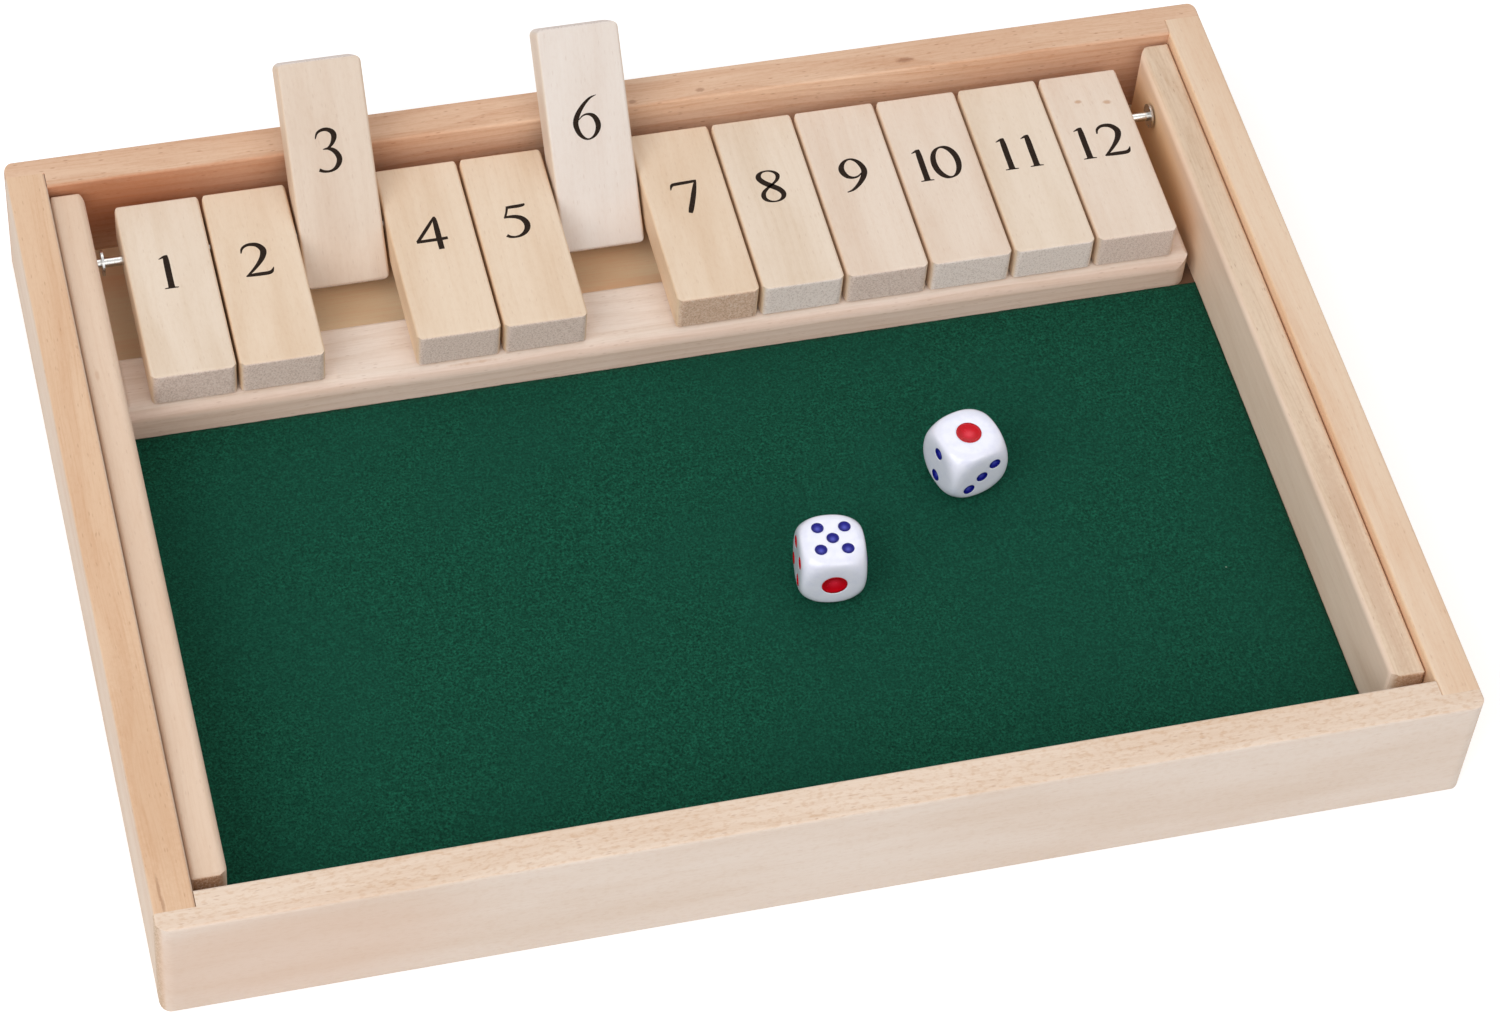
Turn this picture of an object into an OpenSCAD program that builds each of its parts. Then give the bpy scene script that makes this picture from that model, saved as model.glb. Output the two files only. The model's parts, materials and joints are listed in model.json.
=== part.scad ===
// Shut the box: twelve numbered tiles that tip over on one steel rod, in a shallow wooden tray
// with a felt playing floor and two dice. All lengths are in millimetres. The tray stands on z = 0
// with its front towards -Y, and the tiles run from 1 at the left (-X) to 12 at the right (+X).
// The origin lies on the table under the middle of the whole model. A raised tile leans out over
// the back wall, so the tray itself sits a little in front of the origin.

/* [Tray] */
// Length of the tray over its end walls
tray_w = 314; // [270:1:400]
// Depth of the tray over its front and back walls
tray_d = 232; // [190:1:290]
// Height of the walls
tray_h = 34; // [29:0.5:46]
// Thickness of the four walls
wall_t = 9.8; // [7.5:0.1:13]
// How far each end wall is let into the front and back walls
rabbet_depth = 4.6; // [3.4:0.1:6]
// Radius of the tray's four upright outer corners
corner_r = 3.5; // [1:0.1:8]
// Radius that the long edges of the walls are sanded to
ease_r = 0.8; // [0.3:0.1:1.6]

/* [Base and felt] */
// Thickness of the base panel
base_t = 3.5; // [2.5:0.1:6]
// Height of the panel's underside above the table
base_recess = 4.2; // [1.5:0.1:6]
// Depth of the groove in the walls that holds the panel
groove_depth = 3; // [2:0.1:4]
// Room between the panel's edge and the bottom of its groove
panel_play = 0.15; // [0.05:0.05:0.5]
// Thickness of the felt
felt_t = 1; // [0.5:0.1:2]
// Room round the edge of the felt
felt_margin = 0.2; // [0.1:0.1:1]

/* [Side rails] */
// Width of the rails that carry the rod
rail_w = 8.4; // [7:0.1:12]
// How far the rails stay below the top of the walls
rail_drop = 2.5; // [0.5:0.1:4]
// Room between a rail and the end wall beside it
rail_gap = 0.3; // [0.1:0.1:1]
// Room between a rail's front end and the front wall
rail_front_gap = 4.2; // [0.5:0.1:20]
// Room between a rail's back end and the back wall
rail_back_gap = 0.8; // [0.1:0.1:4]
// Radius of a rail's long inner top edge
rail_edge_r = 2; // [0.5:0.1:3]
// Radius of a rail's other edges
rail_ease_r = 1.2; // [0.4:0.1:2]
// Radius of a rail's upright corners on its inner side, seen from above
rail_corner_r = 3.2; // [1:0.1:4]

/* [Tiles] */
// Length of a tile from its free end to its tail
tile_len = 56.8; // [46:0.1:72]
// Length of the tile's tail behind the rod
tile_tail = 13.5; // [9:0.1:16]
// Thickness of a tile
tile_t = 10.4; // [8:0.1:12.5]
// Gap between neighbouring tiles
tile_gap = 0.75; // [0.4:0.05:1.5]
// Gap between a rail and the first or last tile
row_margin = 6.9; // [4:0.05:14]
// Radius of the corners at a tile's free end, seen from above
tile_tip_r = 1.2; // [0.8:0.1:3]
// Radius of the corners at its tail
tile_tail_r = 2.1; // [0.8:0.1:3]
// Radius of a tile's edges
tile_edge_r = 0.9; // [0.4:0.1:2]
// Clearance between a tile and what it comes to rest on
tile_clear = 0.3; // [0.1:0.05:0.6]
// The two tiles that stand raised
raised = [3, 6]; // [1:1:12]

/* [Rod and washers] */
// Diameter of the steel rod
axle_d = 2.4; // [1.6:0.1:3.4]
// Depth of the blind hole in each rail that holds an end of the rod
socket_depth = 5; // [3:0.1:6]
// Radial play of the rod in the rails
socket_play = 0.05; // [0.03:0.01:0.1]
// Radial play of the tiles on the rod
bore_play = 0.08; // [0.03:0.01:0.1]
// Clearance between the floor and a tile's tail as it swings past
swing_clear = 0.9; // [0.6:0.1:4]
// Clearance between the back wall and a tile's tail as it swings past
back_clear = 3.5; // [1:0.1:8]
// Diameter of the washers
washer_d = 6.4; // [5:0.1:8]
// Thickness of the washers
washer_t = 0.6; // [0.4:0.1:1.2]
// Gap between the left rail and its washer
left_washer_gap = 1.5; // [0.2:0.1:2.4]
// Gap between the right rail and its washer
right_washer_gap = 0.6; // [0.2:0.1:2.4]

/* [Tile rest] */
// Depth of the bar that the tiles lie on, from front to back
rest_d = 18.6; // [12:0.1:24]
// How far the rest shows in front of the tiles' free ends
rest_lip = 1.8; // [0.2:0.1:4]
// Gap between the rest's left end and the left rail
rest_left_gap = 0.4; // [0.2:0.1:6]
// Gap between the rest's right end and the right rail
rest_right_gap = 2.4; // [0.2:0.1:6]
// Radius of the rest's front top edge
rest_edge_r = 3.6; // [0.5:0.1:5]
// Radius of the rest's front right corner, seen from above
rest_corner_r = 4; // [0.5:0.1:6]
// Radius of the rest's other edges
rest_ease_r = 1.5; // [0.4:0.1:2.5]

/* [Dice] */
// Edge length of a die
die_s = 16.5; // [12:0.5:19]
// Radius that a die's edges are rolled to
die_edge_r = 3; // [1.5:0.1:4]
// Radius of the ball that its corners are tumbled to, as a multiple of half the edge
die_ball = 1.31; // [1.28:0.01:1.5]
// Diameter of a pip
pip_d = 3.25; // [2:0.05:3.4]
// Depth of a pip
pip_depth = 0.6; // [0.3:0.1:1]
// Diameter of the single pip on the one face
ace_d = 6.7; // [3:0.1:7.5]
// Depth of that single pip
ace_depth = 1; // [0.5:0.1:1.4]
// Distance of the outer pips from the middle of a face
pip_step = 3.3; // [2.8:0.1:3.6]
// Clearance between a die and the felt under it
die_clear = 0.2; // [0.1:0.1:0.5]
// Sideways place of the first die, from the middle of the tray
die_1_x = 20.4; // [-90:0.1:30]
// Distance of the first die in front of the tile rest
die_1_front = 75.1; // [20:0.1:110]
// Turn of the first die
die_1_turn = -6.6; // [-45:0.1:45]
// Sideways place of the second die, from the middle of the tray
die_2_x = 61.6; // [50:0.1:110]
// Distance of the second die in front of the tile rest
die_2_front = 50; // [20:0.1:110]
// Turn of the second die
die_2_turn = 14.6; // [-45:0.1:45]

/* [Hidden] */

// The number of tiles belongs to the game: one for each throw up to double six.
tiles = 12;

// Inside of the tray
in_x = tray_w / 2 - wall_t;
in_y = tray_d / 2 - wall_t;
floor_z = base_recess + base_t;

// Rails, and the bay between them
rail_x = in_x - rail_gap - rail_w / 2;
bay_x = rail_x - rail_w / 2;
rail_top = tray_h - rail_drop;
rail_front = -in_y + rail_front_gap;
rail_back = in_y - rail_back_gap;

// The rod: high and far enough from the back wall for a tile's tail to swing round it
swing_r = sqrt(pow(tile_tail, 2) + pow(tile_t / 2, 2));
axle_z = floor_z + swing_r + swing_clear;
axle_y = in_y - back_clear - swing_r;
rod_len = 2 * (bay_x + socket_depth) - 0.4;

// The row of tiles fills the bay between its margins
tile_w = (2 * (bay_x - row_margin) - (tiles - 1) * tile_gap) / tiles;
tile_pitch = tile_w + tile_gap;
tile_front = tile_len - tile_tail;
function tile_x(n) = (n - (tiles + 1) / 2) * tile_pitch;
function is_raised(n) = n == raised[0] || n == raised[1];

// The rest holds the lowered tiles level
rest_front = axle_y - tile_front - rest_lip;
rest_h = axle_z - tile_t / 2 - tile_clear - floor_z;

// A raised tile leans back on the inner top edge of the back wall, which is an arc of ease_r
lean_y = in_y + ease_r - axle_y;
lean_z = tray_h - ease_r - axle_z;
lean_reach = sqrt(lean_y * lean_y + lean_z * lean_z);
lean = atan2(lean_z, lean_y) + asin((tile_t / 2 + tile_clear + ease_r) / lean_reach);
raise_turn = 180 - lean;

// Where the tip of a raised tile ends, and the shift that centres the whole model
tip_y = axle_y + (tile_front - tile_edge_r) * cos(lean)
      + (tile_t / 2 - tile_edge_r) * sin(lean) + tile_edge_r;
tray_y = -max(0, tip_y - tray_d / 2) / 2;

wood = [0.87, 0.73, 0.56];
pale = [0.90, 0.80, 0.66];
steel = [0.75, 0.76, 0.78];
green = [0.08, 0.32, 0.22];
ivory = [0.95, 0.95, 0.93];

// A rectangle a x b about the origin whose corners are rounded to r[0] to r[3], counter-clockwise
// from the lower left one.
module outline(a, b, r) {
    difference() {
        square([a, b], center = true);
        for (k = [0:3]) if (r[k] > 0) {
            sx = (k == 0 || k == 3) ? -1 : 1;
            sy = k < 2 ? -1 : 1;
            translate([sx * (a / 2 - r[k]), sy * (b / 2 - r[k])]) difference() {
                translate([sx * (r[k] + 1) / 2, sy * (r[k] + 1) / 2])
                    square(r[k] + 1, center = true);
                circle(r = r[k], $fn = 48);
            }
        }
    }
}

// A long bar of length len along X that stands on z = 0, with the section outline(b, c, r)
module bar_x(len, b, c, r) {
    rotate([90, 0, 90]) linear_extrude(height = len, center = true)
        translate([0, c / 2]) outline(b, c, r);
}

// The same along Y, with the section seen from the front
module bar_y(len, a, c, r) {
    rotate([90, 0, 0]) linear_extrude(height = len, center = true)
        translate([0, c / 2]) outline(a, c, r);
}

// A block of size s on z = 0: the overlap of three bars, so that every edge gets its radius.
// plan rounds it as seen from above, front as seen from the front, side as seen from the right.
module block(s, plan, front, side) {
    intersection() {
        linear_extrude(height = s[2]) outline(s[0], s[1], plan);
        bar_y(s[1], s[0], s[2], front);
        bar_x(s[0], s[1], s[2], side);
    }
}

// The outside of the whole tray, which all four walls are cut from
module tray_form() {
    e = ease_r;
    block([tray_w, tray_d, tray_h], corner_r * [1, 1, 1, 1], e * [1, 1, 1, 1], e * [1, 1, 1, 1]);
}

// The groove for the base panel, the same for all walls
module panel_groove() {
    translate([0, 0, floor_z - base_t / 2])
        cube([2 * (in_x + groove_depth), 2 * (in_y + groove_depth), base_t], center = true);
}

// Front wall, with a rabbet at each end for the end walls; turned round it is the back wall
module long_wall() {
    difference() {
        intersection() {
            tray_form();
            translate([0, -(tray_d - wall_t) / 2, 0]) bar_x(tray_w, wall_t, tray_h, [0, 0, ease_r, 0]);
        }
        for (i = [-1, 1])
            translate([i * (in_x + wall_t), -in_y, tray_h / 2])
                cube([2 * wall_t, 2 * rabbet_depth, tray_h + 2], center = true);
        panel_groove();
    }
}

module front_wall() {
    color(wood) translate([0, tray_y, 0]) long_wall();
}

module back_wall() {
    color(wood) translate([0, tray_y, 0]) mirror([0, 1, 0]) long_wall();
}

// Right end wall, its ends lying in the rabbets; mirrored it is the left one
module end_wall() {
    difference() {
        intersection() {
            tray_form();
            translate([in_x + wall_t / 2, 0, 0])
                bar_y(2 * (in_y + rabbet_depth), wall_t, tray_h, [0, 0, 0, ease_r]);
        }
        panel_groove();
    }
}

module right_wall() {
    color(wood) translate([0, tray_y, 0]) end_wall();
}

module left_wall() {
    color(wood) translate([0, tray_y, 0]) mirror([1, 0, 0]) end_wall();
}

// The base panel slides in its groove with a little room to swell
module base_panel() {
    lap = groove_depth - panel_play;
    color(pale) translate([0, tray_y, floor_z - base_t / 2])
        cube([2 * (in_x + lap), 2 * (in_y + lap), base_t], center = true);
}

// The felt covers the floor in front of the rest, between the rails
module playing_felt() {
    x = bay_x - felt_margin;
    y0 = -in_y + felt_margin;
    y1 = rest_front - felt_margin;
    color(green) translate([-x, y0 + tray_y, floor_z]) cube([2 * x, y1 - y0, felt_t]);
}

// Right rail: a bar on the floor along the end wall, with a blind hole for the rod in its inner side
module rail() {
    e = rail_ease_r;
    len = rail_back - rail_front;
    difference() {
        translate([rail_x, (rail_front + rail_back) / 2, floor_z])
            block([rail_w, len, rail_top - floor_z],
                [rail_corner_r, e, e, rail_corner_r], [0, 0, e, rail_edge_r], [0, 0, e, e]);
        translate([bay_x - 1, axle_y, axle_z]) rotate([0, 90, 0])
            cylinder(h = socket_depth + 1, d = axle_d + 2 * socket_play, $fn = 48);
    }
}

module right_rail() {
    color(wood) translate([0, tray_y, 0]) rail();
}

module left_rail() {
    color(wood) translate([0, tray_y, 0]) mirror([1, 0, 0]) rail();
}

// The bar that carries the free ends of the lowered tiles
module tile_rest() {
    e = rest_ease_r;
    len = 2 * bay_x - rest_left_gap - rest_right_gap;
    color(wood) translate([(rest_left_gap - rest_right_gap) / 2, rest_front + rest_d / 2 + tray_y,
        floor_z])
        block([len, rest_d, rest_h], [e, rest_corner_r, e, e], [0, 0, e, e],
            [0, 0, e, rest_edge_r]);
}

// The rod runs through all the tiles into both rails
module axle_rod() {
    color(steel) translate([0, axle_y + tray_y, axle_z]) rotate([0, 90, 0])
        cylinder(h = rod_len, d = axle_d, center = true, $fn = 48);
}

module washer(x) {
    color(steel) translate([x, axle_y + tray_y, axle_z]) rotate([0, 90, 0]) difference() {
        cylinder(h = washer_t, d = washer_d, center = true, $fn = 48);
        cylinder(h = washer_t + 2, d = axle_d + 2 * socket_play, center = true, $fn = 48);
    }
}

module left_washer() {
    washer(-bay_x + left_washer_gap + washer_t / 2);
}

module right_washer() {
    washer(bay_x - right_washer_gap - washer_t / 2);
}

// One tile about its own bore: the free end points to -Y when it lies down
module tile_form() {
    e = tile_edge_r * [1, 1, 1, 1];
    difference() {
        translate([0, tile_tail - tile_len / 2, -tile_t / 2])
            block([tile_w, tile_len, tile_t], [tile_tip_r, tile_tip_r, tile_tail_r, tile_tail_r],
                e, e);
        rotate([0, 90, 0])
            cylinder(h = tile_w + 2, d = axle_d + 2 * bore_play, center = true, $fn = 48);
    }
}

module tile(n) {
    turn = is_raised(n) ? raise_turn : 0;
    color(pale) translate([tile_x(n), axle_y + tray_y, axle_z]) rotate([-turn, 0, 0]) tile_form();
}

// A round hollow of diameter d and depth h, sunk into a surface that faces +Z at the origin
module hollow(d, h) {
    r = (d * d / 4 + h * h) / (2 * h);
    translate([0, 0, r - h]) sphere(r = r, $fn = 48);
}

// Where the pips of each face lie, in steps from its middle
pips = [
    [[0, 0]],
    [[0, -1.25], [0, 1.25]],
    [[-1, -1], [0, 0], [1, 1]],
    [[-1, -1], [-1, 1], [1, -1], [1, 1]],
    [[-1, -1], [-1, 1], [0, 0], [1, -1], [1, 1]],
    [[-1, -1.2], [-1, 0], [-1, 1.2], [1, -1.2], [1, 0], [1, 1.2]]
];

// Turn that brings the +Z side to each face: one on top, two left, three in front, and opposite
// faces adding up to seven
face_turn = [[0, 0, 0], [90, 0, -90], [90, 0, 0], [90, 0, 180], [90, 0, 90], [180, 0, 0]];

// A die about its middle
module die_form() {
    s = die_s;
    r = die_edge_r * [1, 1, 1, 1];
    difference() {
        intersection() {
            translate([0, 0, -s / 2]) block([s, s, s], r, r, r);
            sphere(r = die_ball * s / 2, $fn = 96);
        }
        for (f = [0:5]) rotate(face_turn[f]) for (p = pips[f])
            translate([p[0] * pip_step, p[1] * pip_step, s / 2])
                hollow(f == 0 ? ace_d : pip_d, f == 0 ? ace_depth : pip_depth);
    }
}

// A die on the felt, at x and at a distance in front of the rest
module die_at(x, front, turn) {
    color(ivory) translate([x, rest_front - front + tray_y, floor_z + felt_t + die_clear + die_s / 2])
        rotate([0, 0, turn]) children();
}

// The first die shows five, with the one in front and the four at its left
module die_1() {
    die_at(die_1_x, die_1_front, die_1_turn) rotate([90, 0, 0]) rotate([0, 0, 90]) die_form();
}

// The second die shows one, with the three in front and the two at its left
module die_2() {
    die_at(die_2_x, die_2_front, die_2_turn) die_form();
}

front_wall();
back_wall();
left_wall();
right_wall();
base_panel();
playing_felt();
left_rail();
right_rail();
tile_rest();
axle_rod();
left_washer();
right_washer();
for (n = [1:12]) tile(n);
die_1();
die_2();
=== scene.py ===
# %% [markdown]
# # A shut the box game, finished in Blender
# The game is a shallow wooden tray with a felt floor, twelve numbered tiles on one steel rod, and two
# dice. Its exact shape comes from CAD and arrives as a frame of named pieces. This lesson adds what CAD
# leaves out: the wood, the numbers, the nap of the felt, the paint in the pips, the light and the camera.
# Lengths are written in millimetres and turned into metres where a mesh is made.

# %% Blender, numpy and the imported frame
import json
import math

import bmesh
import bpy
import numpy as np
from mathutils import Euler, Matrix, Vector

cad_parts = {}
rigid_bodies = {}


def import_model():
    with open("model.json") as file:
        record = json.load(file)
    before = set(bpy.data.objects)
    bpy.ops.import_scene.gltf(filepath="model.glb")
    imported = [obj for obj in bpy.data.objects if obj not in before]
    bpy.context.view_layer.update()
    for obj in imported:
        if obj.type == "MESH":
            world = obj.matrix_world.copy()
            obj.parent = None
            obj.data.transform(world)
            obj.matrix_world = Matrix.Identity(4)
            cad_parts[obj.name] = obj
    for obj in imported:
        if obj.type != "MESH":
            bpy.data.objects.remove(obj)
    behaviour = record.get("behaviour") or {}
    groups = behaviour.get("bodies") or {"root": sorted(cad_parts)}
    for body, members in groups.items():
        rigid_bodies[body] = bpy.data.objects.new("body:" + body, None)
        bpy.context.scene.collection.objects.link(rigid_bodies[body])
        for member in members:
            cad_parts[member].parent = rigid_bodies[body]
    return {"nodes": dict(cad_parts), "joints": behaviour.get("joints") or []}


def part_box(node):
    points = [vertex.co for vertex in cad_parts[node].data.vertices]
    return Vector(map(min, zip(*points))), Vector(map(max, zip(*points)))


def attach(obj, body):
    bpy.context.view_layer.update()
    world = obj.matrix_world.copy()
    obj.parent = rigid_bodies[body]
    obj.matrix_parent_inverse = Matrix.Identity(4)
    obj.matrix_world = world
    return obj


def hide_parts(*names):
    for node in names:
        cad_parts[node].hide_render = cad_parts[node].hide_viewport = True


for leftover in list(bpy.data.objects):
    bpy.data.objects.remove(leftover)
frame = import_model()
bpy.context.view_layer.update()
MM = 0.001

# %% [markdown]
# ## Where things are
# The places of the rod, the tiles and the dice are read from the frame, so when the CAD moves them, the
# numbers and the paint go along. Only the sizes of the tiles, dice and pips are written again. A tile's
# own coordinates start on the rod: x runs across it, y from its free end towards its tail, and z up
# through it when it lies down.

# %% Tiles, rod and dice as the frame has them
TILES = range(1, 13)
TILE_LENGTH, TILE_TAIL, TILE_THICK = 56.8, 13.5, 10.4
hinges = {j["child"]: j for j in frame["joints"] if j["type"] == "hinge"}
rod_at = Vector(hinges["tile_1_body"]["pos_m"]) / MM


def box_of(piece):
    """The low and the high corner of a CAD piece's box, in millimetres."""
    return [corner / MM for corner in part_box(piece)]


def middle_of(piece):
    """The middle of a CAD piece's box, in millimetres."""
    low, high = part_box(piece)
    return (low + high) / 2 / MM


def bore_of(n):
    """The middle of tile n's bore, in millimetres."""
    return Vector((middle_of(f"tile_{n}").x, rod_at.y, rod_at.z))


def tile_turn(n):
    """How far tile n stands tipped back from lying down, in radians: the travel its hinge has behind it."""
    return -math.radians(hinges[f"tile_{n}_body"]["range_deg"][0])


def tile_axes(n):
    """The turn of tile n about the rod, as a matrix: a tipped tile swings its free end up and back."""
    return Matrix.Rotation(-tile_turn(n), 3, "X")


raised = [n for n in TILES if tile_turn(n) > 0.1]
print("raised tiles:", raised, "rod height", round(rod_at.z, 2), "mm")

# %% [markdown]
# ## Making meshes from arrays
# Most new pieces are grids of points worked out by a formula. These helpers turn such a grid into faces
# and a mesh object that stays at the origin, because a material on Object coordinates slides as soon as
# its object is moved.

# %% Grids, faces and mesh objects
def grid_faces(rows, columns, close_rows=False, close_columns=False):
    """Four-cornered faces of a grid of points, row by row; a closed direction joins its end to its start."""
    r = np.arange(rows if close_rows else rows - 1)[:, None]
    c = np.arange(columns if close_columns else columns - 1)[None, :]
    r2, c2 = (r + 1) % rows, (c + 1) % columns
    corners = (r * columns + c, r * columns + c2, r2 * columns + c2, r2 * columns + c)
    return np.stack(np.broadcast_arrays(*corners), -1).reshape(-1, 4)


def joined(parts):
    """All points and all faces of parts, each (points, faces); a part's faces count from its own points."""
    starts = np.cumsum([0] + [len(p) for p, _ in parts[:-1]])
    faces = [[int(i + s) for i in face] for (_, f), s in zip(parts, starts) for face in f]
    return np.concatenate([p for p, _ in parts]), faces


def mesh_piece(name, parts, finish):
    """One object from parts whose points are in millimetres."""
    points, faces = joined(parts)
    mesh = bpy.data.meshes.new(name)
    mesh.from_pydata((points * MM).tolist(), [], faces)
    mesh.materials.append(finish)
    piece = bpy.data.objects.new(name, mesh)
    bpy.context.scene.collection.objects.link(piece)
    return piece


def smooth(piece):
    """Shades every face of the piece smoothly."""
    mesh = piece.data
    mesh.polygons.foreach_set("use_smooth", np.ones(len(mesh.polygons), bool))
    return piece


print("a 3 by 4 grid has", len(grid_faces(3, 4)), "faces")

# %% [markdown]
# ## A short way to write shader nodes
# A material is a small network. Written out in full, each node takes three or four lines, so these
# helpers add a node, feed its inputs and hand back its output in one.

# %% Node helpers
def shade(red, green, blue):
    """A colour as the eye reads it, 0 to 255, turned into the linear numbers that a shader works with."""
    c = np.array([red, green, blue]) / 255
    return (*np.where(c <= 0.04045, c / 12.92, ((c + 0.055) / 1.055) ** 2.4).tolist(), 1.0)


def feed(tree, node, feeds):
    """Gives a node's inputs by name or number: each a value, or the output that feeds it."""
    for key, value in feeds.items():
        if isinstance(value, bpy.types.NodeSocket):
            tree.links.new(value, node.inputs[key])
        else:
            node.inputs[key].default_value = value


def put(tree, kind, feeds=None, **settings):
    """Adds a node with its settings and feeds its inputs."""
    made = tree.nodes.new("ShaderNode" + kind)
    for key, value in settings.items():
        setattr(made, key, value)
    feed(tree, made, feeds or {})
    return made


def new_material(name):
    """A material with its node tree and the shader that stands in it."""
    material = bpy.data.materials.new(name)
    material.use_nodes = True
    return material, material.node_tree, material.node_tree.nodes["Principled BSDF"]


def calc(tree, operation, *values):
    """One step of arithmetic on numbers."""
    return put(tree, "Math", dict(enumerate(values)), operation=operation).outputs[0]


def plus(tree, total, *others):
    """The sum of numbers."""
    for other in others:
        total = calc(tree, "ADD", total, other)
    return total


def times(tree, product, *others):
    """The product of numbers."""
    for other in others:
        product = calc(tree, "MULTIPLY", product, other)
    return product


def vector(tree, operation, *values, out=0):
    """One step of arithmetic on vectors."""
    return put(tree, "VectorMath", dict(enumerate(values)), operation=operation).outputs[out]


def millimetres(tree, place):
    """A place in metres, turned into millimetres."""
    return vector(tree, "MULTIPLY", place, (1 / MM, 1 / MM, 1 / MM))


def ramp(tree, value, low, high, to_low=0.0, to_high=1.0):
    """Maps value from low..high to to_low..to_high along a smooth S curve, level beyond the ends."""
    feeds = {"Value": value, "From Min": low, "From Max": high, "To Min": to_low, "To Max": to_high}
    return put(tree, "MapRange", feeds, interpolation_type="SMOOTHSTEP").outputs[0]


def tint(tree, share, first, second, mode="MIX"):
    """Mixes the second colour into the first by share."""
    feeds = {0: share, 6: first, 7: second}
    return put(tree, "Mix", feeds, data_type="RGBA", blend_type=mode).outputs[2]


def cloud(tree, place, stretch, detail=2.0, rough=0.5, out=0):
    """Noise from 0 to 1, with stretch giving its cells per millimetre along x, y and z."""
    scaled = vector(tree, "MULTIPLY", place, stretch)
    return put(tree, "TexNoise", {"Vector": scaled, "Scale": 1.0, "Detail": detail, "Roughness": rough}).outputs[out]


def new_group(name, inputs, outputs):
    """A shader node group and the sockets inside it. Each input is named with its usual value, which also says
    its kind: one number, a vector of three or a colour of four. Each output is named with its kind."""
    group = bpy.data.node_groups.new(name, "ShaderNodeTree")
    for label, value in inputs.items():
        kind = {1: "Float", 3: "Vector", 4: "Color"}[np.size(value)]
        group.interface.new_socket(label, in_out="INPUT", socket_type="NodeSocket" + kind).default_value = value
    for label, kind in outputs.items():
        group.interface.new_socket(label, in_out="OUTPUT", socket_type="NodeSocket" + kind)
    return group, group.nodes.new("NodeGroupInput").outputs, group.nodes.new("NodeGroupOutput").inputs


print("a grey of 128 is", round(shade(128, 128, 128)[0], 3), "in linear light")

# %% [markdown]
# ## Solid wood
# A picture wrapped round a board shows the same lines on its end as on its face, which no real board does. Wood is
# solid: its growth rings are tubes round the heart of the tree, so a face cut along them shows long lines, and an end
# shows arcs. The group below works in the board's own millimetres with the grain along x. It measures the distance
# from the heart line, wavers it a little, and reads rings, fibres, the small dark flecks of beech, soft cloudy figure
# and the darker end grain from that. A factor on the colour of the board's sides paints in the light and shade that
# those faces take.

# %% The node group for solid wood
WHITE = (1, 1, 1, 1)
wood, given, result = new_group(
    "Solid wood",
    {
        "Place": (0, 0, 0), "Facing": (0, 0, 1), "Heart": (0, 0, -40), "Seed": 0, "Early Wood": WHITE,
        "Late Wood": WHITE, "End Wood": WHITE, "Side Shading": WHITE, "Side Figure": 1, "Ring Spacing": 2.4,
        "Rings": 0.2, "Fibres": 0.4, "Flecks": 0.2, "Figure": 0.1, "Clouds": 0.4,
    },
    {"Color": "Color", "Roughness": "Float", "Height": "Float"},
)
board = millimetres(wood, given["Place"])
shift = put(wood, "CombineXYZ", {axis: given["Seed"] for axis in range(3)}).outputs[0]
sample = vector(wood, "ADD", board, vector(wood, "MULTIPLY", shift, (37.0, 91.0, 53.0)))
sway = vector(wood, "SUBTRACT", cloud(wood, sample, (0.008, 0.03, 0.03), out=1), (0.5, 0.5, 0.5))
waver = vector(wood, "MULTIPLY", sway, (0, 9, 9))
bent = vector(wood, "ADD", sample, waver)
from_heart = vector(wood, "ADD", vector(wood, "SUBTRACT", board, given["Heart"]), waver)
radius = vector(wood, "LENGTH", vector(wood, "MULTIPLY", from_heart, (0, 1, 1)), out=1)
year = calc(wood, "FRACT", calc(wood, "DIVIDE", radius, given["Ring Spacing"]))
late = times(wood, ramp(wood, year, 0.35, 0.93), ramp(wood, year, 0.93, 1.0, 1.0, 0.0))
fibre = cloud(wood, bent, (0.05, 2.2, 2.2), 4.0, 0.62)
cloudy = cloud(wood, bent, (0.014, 0.07, 0.07), 3.0, 0.55)
figure = ramp(wood, cloud(wood, bent, (0.55, 1.25, 1.25), 2.5, 0.6), 0.46, 0.68)
pores = cloud(wood, bent, (0.3, 2.2, 2.2), 4.0, 0.75)
cells = put(wood, "TexVoronoi", {"Vector": vector(wood, "MULTIPLY", bent, (0.33, 1.5, 1.5)), "Scale": 1.0}).outputs
chosen = put(wood, "SeparateColor", {0: cells["Color"]}).outputs[0]
fleck = times(wood, ramp(wood, cells["Distance"], 0.1, 0.3, 1.0, 0.0), ramp(wood, chosen, 0.72, 0.8))
facing = put(wood, "SeparateXYZ", {0: vector(wood, "ABSOLUTE", given["Facing"])}).outputs
end = ramp(wood, facing[0], 0.55, 0.95)
not_end = calc(wood, "SUBTRACT", 1.0, end)
side = times(wood, ramp(wood, facing[1], 0.35, 0.9), not_end)
calm = calc(wood, "SUBTRACT", 1.0, times(wood, side, calc(wood, "SUBTRACT", 1.0, given["Side Figure"])))
fleck_share = times(wood, times(wood, fleck, given["Flecks"]), times(wood, not_end, calm))


def darker(colour, *tone):
    """A wood colour multiplied by a tone."""
    return tint(wood, 1.0, colour, shade(*tone), "MULTIPLY")


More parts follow.
